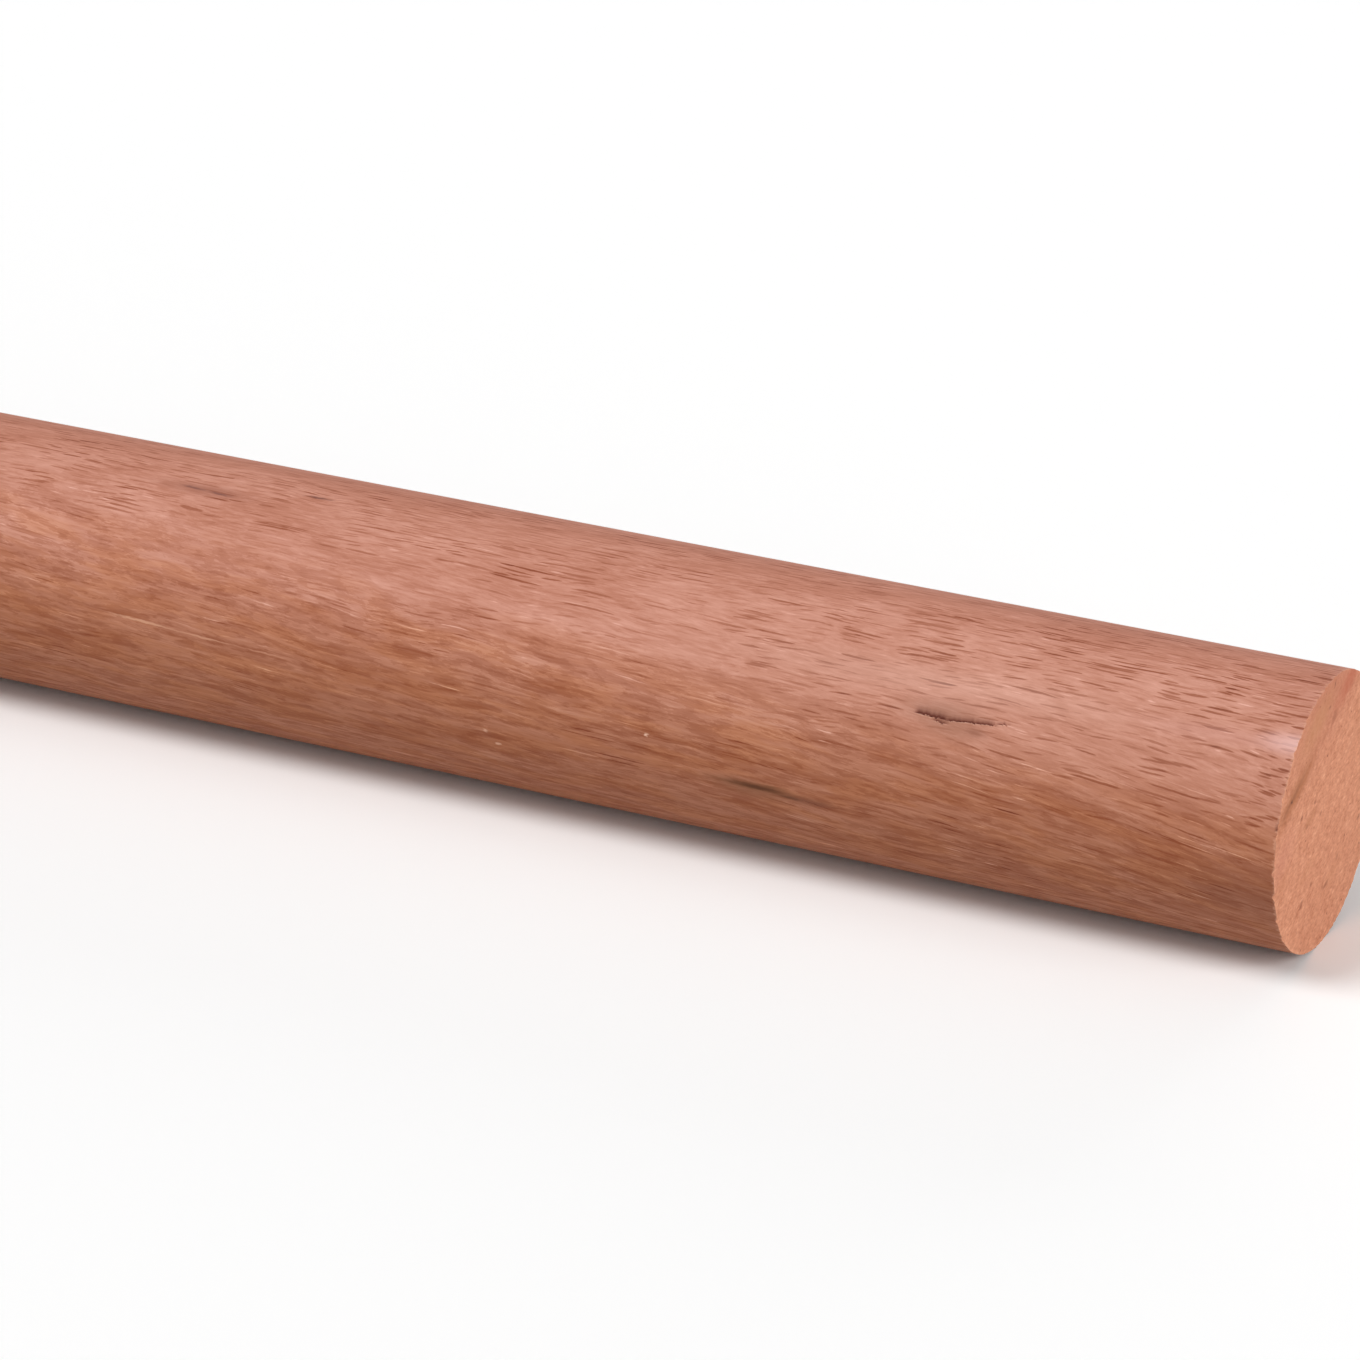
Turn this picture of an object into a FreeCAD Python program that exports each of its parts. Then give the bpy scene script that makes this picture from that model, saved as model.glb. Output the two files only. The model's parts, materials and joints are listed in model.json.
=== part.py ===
import FreeCAD, Part
import os

# Round hardwood handrail for a stair: one piece of timber, turned to a plain round section
# and cross-cut square at both ends. It lies on a level floor, with its length along X.
# The origin is on the floor, under the middle of the rail.

# Driving dimensions, in millimetres
RAIL_DIAMETER = 45.0
RAIL_LENGTH = 2400.0

PARTS_FOLDER = "parts"


def round_section(diameter, centre, along):
    """Flat face of the rail's section: a full circle about centre, square to the rail."""
    rim = Part.Circle(centre, along, diameter / 2)
    return Part.Face(Part.Wire(rim.toShape()))


def handrail(diameter, length):
    """The whole rail: its section at the left saw cut, carried along to the right saw cut."""
    along = FreeCAD.Vector(1, 0, 0)
    left_cut = FreeCAD.Vector(-length / 2, 0, diameter / 2)
    return round_section(diameter, left_cut, along).extrude(along * length)


def main():
    os.makedirs(PARTS_FOLDER, exist_ok=True)
    rail = handrail(RAIL_DIAMETER, RAIL_LENGTH)
    rail.exportStep(os.path.join(PARTS_FOLDER, "handrail.step"))


main()
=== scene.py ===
import json
import logging
import math
from dataclasses import dataclass
from enum import Enum
from typing import Any, Callable, Mapping

import bpy
from mathutils import Color, Matrix, Vector, noise


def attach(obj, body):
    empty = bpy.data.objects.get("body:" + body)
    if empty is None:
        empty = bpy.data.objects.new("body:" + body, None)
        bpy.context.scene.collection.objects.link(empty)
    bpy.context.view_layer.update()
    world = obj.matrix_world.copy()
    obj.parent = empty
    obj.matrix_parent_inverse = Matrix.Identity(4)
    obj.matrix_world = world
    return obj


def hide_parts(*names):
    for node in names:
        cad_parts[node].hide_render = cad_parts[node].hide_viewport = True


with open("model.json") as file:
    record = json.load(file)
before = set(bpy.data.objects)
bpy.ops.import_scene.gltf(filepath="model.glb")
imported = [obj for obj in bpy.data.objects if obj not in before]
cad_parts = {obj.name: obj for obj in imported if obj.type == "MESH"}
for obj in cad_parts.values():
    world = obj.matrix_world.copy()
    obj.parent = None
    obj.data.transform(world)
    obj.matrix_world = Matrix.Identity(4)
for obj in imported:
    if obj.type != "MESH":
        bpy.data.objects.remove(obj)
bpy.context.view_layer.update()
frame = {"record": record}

LOG = logging.getLogger("handrail")
NODE = "handrail"
BODY = "root"
BAKE_MAP = "OFBake"

# Vertex attribute that says how torn the wood is
TORN = "torn"

# Metres in a millimetre
MM = 0.001

# How near in millimetres counts as at a place
TOUCH = 0.02

# Degrees in a full turn
FULL_TURN = 360.0

# The value that a noise swings about
NOISE_MIDDLE = 0.5

Pair = tuple[float, float]
Triple = tuple[float, float, float]
Socket = bpy.types.NodeSocket


def linear(hex_colour: str) -> tuple[float, float, float, float]:
    """Turn an sRGB hex colour into linear light.

    Args:
        hex_colour: Six hex digits, with or without a leading #.

    Returns:
        Linear red, green and blue, and an alpha of one.
    """
    srgb = Color([byte / 0xFF for byte in bytes.fromhex(hex_colour.lstrip("#"))])
    return (*srgb.from_srgb_to_scene_linear(), 1.0)


class Bench:
    """A node tree that is being laid out, one node at a time."""

    def __init__(self, tree: bpy.types.NodeTree) -> None:
        """Start from an empty tree."""
        self.tree = tree
        tree.nodes.clear()

    def add(
        self, kind: str, inputs: Mapping[Any, Any] | None = None, out: str | None = None, **settings: Any
    ) -> Socket | None:
        """Add one node with its settings, values and links.

        Args:
            kind: The node's type, without the ShaderNode prefix.
            inputs: Values or sockets by input name, or by number where names repeat.
            out: Name of the output that is wanted, or None for the first in use.
            **settings: Properties of the node itself.

        Returns:
            The wanted output socket, or None from a node that has no output.
        """
        node = self.tree.nodes.new("ShaderNode" + kind)
        for name, value in settings.items():
            setattr(node, name, value)
        for key, value in (inputs or {}).items():
            usable = [s for s in node.inputs if s.enabled]
            socket = usable[key] if isinstance(key, int) else next(s for s in usable if s.name == key)
            if isinstance(value, Socket):
                self.tree.links.new(value, socket)
            else:
                socket.default_value = value
        found = [s for s in node.outputs if s.enabled and out in (None, s.name)]
        return found[0] if found else None


class RailEnd(Enum):
    """The two cross-cut ends, by the way that each one faces along X."""

    LEFT = -1
    RIGHT = 1


@dataclass(frozen=True)
class OnSide:
    """A place on the round side: millimetres back from the right cut, degrees up from the near level line."""

    back: float
    turn: float

    def point(self, radius: float, length: float) -> Vector:
        """Find the place in millimetres from the middle of the rail's axis."""
        return Vector((length / 2 - self.back, 0, 0)) + radius * self.outwards()

    def outwards(self) -> Vector:
        """Find the way that the wood faces here."""
        turn = math.radians(self.turn)
        return Vector((0, -math.cos(turn), math.sin(turn)))


@dataclass(frozen=True)
class OnCut:
    """A place on the right cut: millimetres along Y and along Z from the rail's axis."""

    y: float
    z: float

    def point(self, radius: float, length: float) -> Vector:
        """Find the place in millimetres from the middle of the rail's axis."""
        return Vector((length / 2, self.y, self.z))

    def outwards(self) -> Vector:
        """Find the way that the wood faces here."""
        return Vector((1, 0, 0))


@dataclass(frozen=True)
class Cloud:
    """An uneven pattern in the wood, by its size in millimetres along, across and through the grain.

    Detail says how many finer patterns lie in it, and roughness how strong they are.
    """

    size: Triple
    detail: float = 3.0
    roughness: float = 0.6

    def draw(self, bench: Bench, place: Socket, turn: Triple, out: str) -> Socket:
        """Draw the pattern.

        Args:
            bench: The material's node tree.
            place: The place in millimetres.
            turn: How the pattern is turned, in radians about X, Y and Z.
            out: Fac for one value, or Color for three.

        Returns:
            What is drawn, about the middle of a noise.
        """
        lie = {"Rotation": turn, "Scale": self.size}
        at = bench.add("Mapping", {"Vector": place, **lie}, vector_type="TEXTURE")
        fineness = {"Detail": self.detail, "Roughness": self.roughness}
        return bench.add("TexNoise", {"Vector": at, "Scale": 1.0, **fineness}, out=out)

    def level(self, bench: Bench, place: Socket, turn: Triple) -> Socket:
        """Draw the pattern as one value, about 0."""
        drawn = self.draw(bench, place, turn, "Fac")
        return bench.add("Math", {0: drawn, 1: NOISE_MIDDLE}, operation="SUBTRACT")


@dataclass(frozen=True)
class Sway:
    """An uneven pattern that moves places: how far along, across and through the grain, in millimetres."""

    pattern: Cloud
    by: Triple

    def move(self, bench: Bench, place: Socket, moved: Socket) -> Socket:
        """Move a place.

        Args:
            bench: The material's node tree.
            place: The place that the pattern is drawn at, in millimetres.
            moved: The place that it moves, in millimetres.

        Returns:
            The moved place, in millimetres.
        """
        drawn = self.pattern.draw(bench, place, (0, 0, 0), "Color")
        centred = bench.add("VectorMath", {0: drawn, 1: (NOISE_MIDDLE,) * 3}, operation="SUBTRACT")
        return bench.add("VectorMath", {0: centred, 1: self.by, 2: moved}, operation="MULTIPLY_ADD")


@dataclass(frozen=True)
class Share:
    """How much a part of the figure deepens the tone, on the rail's top and on its flank."""

    top: float
    flank: float


@dataclass(frozen=True)
class Vessels:
    """One sort of vessel that planing lays open as dashes. Lengths are in millimetres.

    The room is what each vessel has along, across and through the grain. The vessel fills that room out
    to its core and is gone at its rim, both as parts of the room. The faintest has that much strength.
    """

    room: Triple
    core: float
    rim: float
    dip: float
    faintest: float
    share: Share


@dataclass(frozen=True)
class GrainFigure:
    """The structure of the timber as a solid, so that the sides and the sawn ends agree.

    The axis height is in metres. Other lengths are in millimetres, as (along, across, through) the grain
    where there are three. The grain runs along the rail and dips a few degrees towards the right end, so
    the top cuts across it and shows short dashes, and the side runs with it and shows longer streaks that
    fall to the right. Near the right cut, vessels stand closer, and the near side's grain falls more.
    """

    axis_height: float
    dip: float = math.radians(4.5)
    sways: tuple[Sway, ...] = (
        Sway(Cloud((80.0, 30.0, 30.0), 1.0, 0.5), (0.0, 3.0, 3.0)),
        Sway(Cloud((17.0, 8.0, 8.0), 1.0, 0.5), (0.0, 1.5, 1.5)),
    )
    fall_from: float = 1125.0
    fall_to: float = 1200.0
    fall_by: float = 4.0
    fall_bend: float = 2.0
    fall_top: float = -8.0
    fall_side: float = -19.0
    fray: Sway = Sway(Cloud((1.6, 0.5, 0.5), 2.0, 0.5), (1.8, 0.16, 0.16))
    crowd: Cloud = Cloud((26.0, 7.0, 7.0), 1.0, 0.5)
    crowd_thin: float = -0.15
    crowd_thick: float = 0.12
    crowd_least: float = 0.2
    crowd_from: float = 1100.0
    crowd_to: float = 1170.0
    crowd_by: float = 0.2
    ribbon_from: float = 0.01
    ribbon_to: float = 0.04
    patch: Cloud = Cloud((16.0, 4.0, 3.0))
    patch_from: float = -0.1
    patch_to: float = 0.15
    layer: Cloud = Cloud((30.0, 9.0, 1.7), 4.0)
    layer_turn: float = math.radians(26.6)

    def place(self, bench: Bench) -> Socket:
        """Find the place in millimetres from the middle of the rail's axis."""
        here = {"Vector": bench.add("TexCoord", out="Object"), "Location": (0, 0, self.axis_height)}
        return bench.add("Mapping", {**here, "Scale": (MM, MM, MM)}, vector_type="TEXTURE")

    def grain(self, bench: Bench, place: Socket) -> Socket:
        """Bend the place a little, as the grain sways along the rail and falls by the right cut.

        Args:
            bench: The material's node tree.
            place: The place in millimetres.

        Returns:
            The place in the swaying wood, in millimetres.
        """
        grain = place
        for sway in self.sways:
            grain = sway.move(bench, place, grain)
        along = bench.add("SeparateXYZ", {"Vector": place}, out="X")
        near = bench.add("MapRange", {"Value": along, "From Min": self.fall_from, "From Max": self.fall_to})
        bent = bench.add("Math", {0: near, 1: self.fall_bend}, operation="POWER")
        aside = bench.add("SeparateXYZ", {"Vector": place}, out="Y")
        across = {"From Min": self.fall_top, "From Max": self.fall_side, "To Max": self.fall_by}
        most = bench.add("MapRange", {"Value": aside, **across})
        fall = bench.add("Math", {0: bent, 1: most}, operation="MULTIPLY")
        down = bench.add("CombineXYZ", {"Z": fall})
        return bench.add("VectorMath", {0: grain, 1: down}, operation="ADD")

    def lean(self) -> Triple:
        """Give the turn of the growth layers, which lean across the section and dip with the grain."""
        return (self.layer_turn, self.dip, 0.0)

    def fibres(self, bench: Bench, grain: Socket, pattern: Cloud) -> Socket:
        """Draw fine streaks along the grain, about 0."""
        return pattern.level(bench, grain, (0.0, self.dip, 0.0))

    def layers(self, bench: Bench, grain: Socket) -> Socket:
        """Draw the growth layers, about 0."""
        return self.layer.level(bench, grain, self.lean())

    def ribbons(self, bench: Bench, grain: Socket, pattern: Cloud) -> Socket:
        """Draw dark wedges where the grain interlocks, from 0 to 1.

        Args:
            bench: The material's node tree.
            grain: The place in the swaying wood, in millimetres.
            pattern: Size and fineness of the wedges.

        Returns:
            How much of a wedge is here.
        """
        wedge = pattern.level(bench, grain, self.lean())
        span = {"From Min": self.ribbon_from, "From Max": self.ribbon_to}
        return bench.add("MapRange", {"Value": wedge, **span}, interpolation_type="SMOOTHSTEP")

    def patches(self, bench: Bench, grain: Socket) -> Socket:
        """Draw the broad patches in which the wood is warmer in hue, from 0 to 1.

        Args:
            bench: The material's node tree.
            grain: The place in the swaying wood, in millimetres.

        Returns:
            How warm the wood is here.
        """
        patch = self.patch.level(bench, grain, self.lean())
        span = {"From Min": self.patch_from, "From Max": self.patch_to}
        return bench.add("MapRange", {"Value": patch, **span}, interpolation_type="SMOOTHSTEP")

    def vessels(self, bench: Bench, grain: Socket, sort: Vessels) -> Socket:
        """Draw one sort of vessel as frayed dashes in clusters, each dash with a strength of its own.

        Args:
            bench: The material's node tree.
            grain: The place in the swaying wood, in millimetres.
            sort: Which vessels.

        Returns:
            How much of a vessel is here, from 0 to 1.
        """
        frayed = self.fray.move(bench, grain, grain)
        room = {"Rotation": (0, sort.dip, 0), "Scale": sort.room}
        at = bench.add("Mapping", {"Vector": frayed, **room}, vector_type="TEXTURE")
        away = bench.add("TexVoronoi", {"Vector": at, "Scale": 1.0}, out="Distance")
        body = {"From Min": sort.rim, "From Max": sort.core}
        shape = bench.add("MapRange", {"Value": away, **body}, interpolation_type="SMOOTHSTEP")
        lot = bench.add("TexVoronoi", {"Vector": at, "Scale": 1.0}, out="Color")
        drawn = bench.add("SeparateColor", {"Color": lot}, out="Red")
        strength = bench.add("MapRange", {"Value": drawn, "To Min": sort.faintest, "To Max": 1.0})
        along = bench.add("SeparateXYZ", {"Vector": grain}, out="X")
        stretch = {"From Min": self.crowd_from, "From Max": self.crowd_to, "To Max": self.crowd_by}
        more = bench.add("MapRange", {"Value": along, **stretch})
        crowd = self.crowd.level(bench, grain, (0, 0, 0))
        dense = bench.add("Math", {0: crowd, 1: more}, operation="ADD")
        span = {"From Min": self.crowd_thin, "From Max": self.crowd_thick}
        crowded = bench.add("MapRange", {"Value": dense, **span, "To Min": self.crowd_least, "To Max": 1.0})
        shown = bench.add("Math", {0: strength, 1: crowded}, operation="MULTIPLY")
        return bench.add("Math", {0: shape, 1: shown}, operation="MULTIPLY")


@dataclass(frozen=True)
class WoodTones:
    """Colours of one wood from its palest to its darkest, each at its depth from 0 to 1."""

    stops: tuple[tuple[float, str], ...]

    def colour(self, bench: Bench, depth: Socket) -> Socket:
        """Colour a depth of tone.

        Args:
            bench: The material's node tree.
            depth: How deep the tone is, from 0 to 1.

        Returns:
            The colour.
        """
        colour = bench.add("ValToRGB", {"Fac": depth}, out="Color")
        ramp = colour.node.color_ramp
        while len(ramp.elements) < len(self.stops):
            ramp.elements.new(1.0)
        for element, (at, tone) in zip(ramp.elements, self.stops):
            element.position = at
            element.color = linear(tone)
        return colour


@dataclass(frozen=True)
class BlemishOrHighlight:
    """A stain or pale spot in the wood, or a painted highlight, drawn as a long ellipse between two places on
    it.

    The width is in millimetres. The core is the part of the ellipse that has the full strength.
    """

    start: OnSide | OnCut
    end: OnSide | OnCut
    width: float
    colour: str
    strength: float
    core: float = 0.0

    def lay(self, bench: Bench, wood: Socket, place: Socket, radius: float, length: float) -> Socket:
        """Lay the mark over the wood.

        Args:
            bench: The material's node tree.
            wood: Colour of the wood without the mark.
            place: The place in millimetres from the middle of the rail's axis.
            radius: The rail's radius in millimetres.
            length: The rail's length in millimetres.

        Returns:
            The colour with the mark.
        """
        first = self.start.point(radius, length)
        last = self.end.point(radius, length)
        along = (last - first).normalized()
        up = self.start.outwards().cross(along).normalized()
        stand = {
            "Location": (first + last) / 2,
            "Rotation": Matrix((along, up, along.cross(up))).transposed().to_euler(),
            "Scale": ((last - first).length / 2, self.width / 2, radius),
        }
        at = bench.add("Mapping", {"Vector": place, **stand}, vector_type="TEXTURE")
        away = bench.add("VectorMath", {0: at}, out="Value", operation="LENGTH")
        fade = {"From Min": 1.0, "From Max": self.core, "To Max": self.strength}
        mask = bench.add("MapRange", {"Value": away, **fade}, interpolation_type="SMOOTHSTEP")
        return bench.add("Mix", {"Factor": mask, "A": wood, "B": linear(self.colour)}, data_type="RGBA")


# Marks on the side of this one length of timber, as the photo shows them
SIDE_MARKS = (
    # Grey-brown stain above and below the cleft
    BlemishOrHighlight(OnSide(68.0, 34.2), OnSide(46.0, 34.8), 6.6, "#91624F", 0.62),
    BlemishOrHighlight(OnSide(63.0, 28.6), OnSide(46.0, 28.8), 5.4, "#9A6650", 0.55),
    BlemishOrHighlight(OnSide(53.5, 29.6), OnSide(48.5, 28.6), 2.0, "#8A5340", 0.6, 0.1),
    # Dark streak low on the near side, with a brown stain about it and a brown tail
    BlemishOrHighlight(OnSide(101.0, -12.6), OnSide(76.0, -15.0), 5.4, "#86563A", 0.6),
    BlemishOrHighlight(OnSide(98.5, -11.7), OnSide(77.0, -13.5), 1.8, "#6B3F22", 0.85),
    BlemishOrHighlight(OnSide(94.0, -12.1), OnSide(80.5, -12.9), 1.2, "#532C14", 0.8),
    BlemishOrHighlight(OnSide(90.0, -10.9), OnSide(80.0, -11.4), 0.9, "#6B4024", 0.6),
    BlemishOrHighlight(OnSide(85.5, -14.2), OnSide(77.5, -14.6), 1.0, "#5C361E", 0.8),
    BlemishOrHighlight(OnSide(84.0, -14.3), OnSide(71.0, -14.6), 2.4, "#784633", 0.7),
    # Darker wood low down beside the right cut
    BlemishOrHighlight(OnSide(24.0, -15.0), OnSide(-14.0, -17.0), 15.0, "#7C4631", 0.4),
    # Faint purple-grey smear and dark dashes near the top
    BlemishOrHighlight(OnSide(211.0, 70.0), OnSide(183.0, 70.4), 4.6, "#96604F", 0.55),
    BlemishOrHighlight(OnSide(202.5, 70.6), OnSide(196.0, 70.0), 0.9, "#74463E", 0.8, 0.1),
    BlemishOrHighlight(OnSide(197.2, 69.8), OnSide(190.8, 69.0), 0.9, "#74463E", 0.85, 0.1),
    BlemishOrHighlight(OnSide(180.5, 79.1), OnSide(173.6, 79.2), 0.9, "#66372F", 0.9, 0.1),
    # Pale lines and dust specks low on the near side
    BlemishOrHighlight(OnSide(211.0, 6.9), OnSide(192.0, 4.3), 0.6, "#DBA586", 0.7, 0.1),
    BlemishOrHighlight(OnSide(198.0, 4.8), OnSide(180.0, 2.8), 0.5, "#D59C7E", 0.7, 0.1),
    BlemishOrHighlight(OnSide(184.0, 3.2), OnSide(171.0, 1.8), 0.5, "#D09476", 0.6, 0.1),
    BlemishOrHighlight(OnSide(137.4, -11.8), OnSide(135.8, -13.2), 0.8, "#E0AE92", 0.8, 0.2),
    BlemishOrHighlight(OnSide(135.0, -18.4), OnSide(133.8, -18.6), 0.8, "#E0AE92", 0.8, 0.2),
    BlemishOrHighlight(OnSide(107.3, 1.2), OnSide(106.2, 1.2), 0.8, "#F0C4AA", 0.9, 0.2),
    # Painted highlight: a paler sheen painted along the stretch towards the right cut,
    # and a pinkish highlight spot painted beside the cut
    BlemishOrHighlight(OnSide(150.0, 40.0), OnSide(-60.0, 46.0), 30.0, "#D2A48F", 0.12),
    BlemishOrHighlight(OnSide(110.0, 44.5), OnSide(10.0, 47.5), 9.0, "#E0B2A2", 0.22),
    BlemishOrHighlight(OnSide(9.0, 49.0), OnSide(-8.0, 50.0), 5.6, "#E6BAB4", 0.66),
    BlemishOrHighlight(OnSide(32.0, 47.0), OnSide(-6.0, 48.5), 5.0, "#CE978A", 0.3),
)

# Marks on the right cut
END_MARKS = (
    # Redder wood above the torn growth layer, with a browner patch in it
    BlemishOrHighlight(OnCut(-26.0, 11.0), OnCut(28.0, 33.0), 28.0, "#AE674E", 0.6),
    BlemishOrHighlight(OnCut(-17.0, 13.0), OnCut(5.0, 22.0), 9.0, "#BC8058", 0.6),
    BlemishOrHighlight(OnCut(-1.0, 15.6), OnCut(18.0, 24.6), 6.0, "#B05A3E", 0.7),
    # Pinker wood under it, by the edge
    BlemishOrHighlight(OnCut(-27.0, -4.0), OnCut(-11.0, 4.0), 11.0, "#C07A66", 0.3),
    # The torn layer itself, broken towards the top
    BlemishOrHighlight(OnCut(-3.0, 14.0), OnCut(-25.0, 4.4), 6.6, "#A4653F", 0.8),
    BlemishOrHighlight(OnCut(-8.5, 11.6), OnCut(-22.0, 5.4), 1.6, "#8C5234", 0.55),
    BlemishOrHighlight(OnCut(-5.0, 12.9), OnCut(-0.8, 14.7), 2.6, "#AC6A49", 0.6),
    BlemishOrHighlight(OnCut(-0.6, 14.8), OnCut(3.4, 16.7), 2.6, "#9C5C40", 0.7),
    BlemishOrHighlight(OnCut(-12.5, 0.0), OnCut(-3.0, 3.4), 2.8, "#B0704C", 0.6),
    # Softer bands beside it
    BlemishOrHighlight(OnCut(-14.0, -9.0), OnCut(-2.0, -4.6), 3.4, "#BC7A56", 0.4),
    BlemishOrHighlight(OnCut(-2.0, -15.0), OnCut(9.0, -9.4), 4.2, "#BC7A56", 0.45),
    BlemishOrHighlight(OnCut(4.0, 5.6), OnCut(16.0, 10.6), 3.2, "#C08060", 0.4),
    BlemishOrHighlight(OnCut(-22.0, -6.0), OnCut(-15.0, -2.6), 4.0, "#B87450", 0.5),
    # Open pores and small pits
    BlemishOrHighlight(OnCut(-16.6, 7.7), OnCut(-15.3, 8.2), 1.0, "#552C1E", 0.9),
    BlemishOrHighlight(OnCut(-12.1, 3.4), OnCut(-10.6, 3.8), 1.1, "#7A4028", 0.8),
    BlemishOrHighlight(OnCut(-6.6, 3.7), OnCut(-5.0, 4.2), 1.1, "#84482E", 0.7),
    BlemishOrHighlight(OnCut(-9.9, 0.6), OnCut(-8.2, 1.2), 1.3, "#8A4E32", 0.6),
    BlemishOrHighlight(OnCut(-3.9, 0.6), OnCut(-2.2, 1.0), 1.2, "#8A4E32", 0.6),
    BlemishOrHighlight(OnCut(-6.6, -10.3), OnCut(-4.9, -9.7), 1.4, "#8A4E32", 0.7),
    BlemishOrHighlight(OnCut(-10.7, -12.1), OnCut(-8.6, -11.6), 1.5, "#7A4028", 0.75),
    BlemishOrHighlight(OnCut(-0.6, -13.3), OnCut(2.4, -12.5), 1.5, "#84482E", 0.7),
    BlemishOrHighlight(OnCut(4.7, -10.4), OnCut(6.4, -9.7), 1.4, "#8A4E32", 0.6),
    BlemishOrHighlight(OnCut(13.9, -7.4), OnCut(15.5, -6.8), 1.3, "#7A4028", 0.75),
    BlemishOrHighlight(OnCut(-1.9, 17.7), OnCut(-0.3, 18.3), 1.2, "#7A4028", 0.7),
    BlemishOrHighlight(OnCut(0.0, 21.0), OnCut(1.5, 21.5), 1.2, "#7A4028", 0.7),
)


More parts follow.
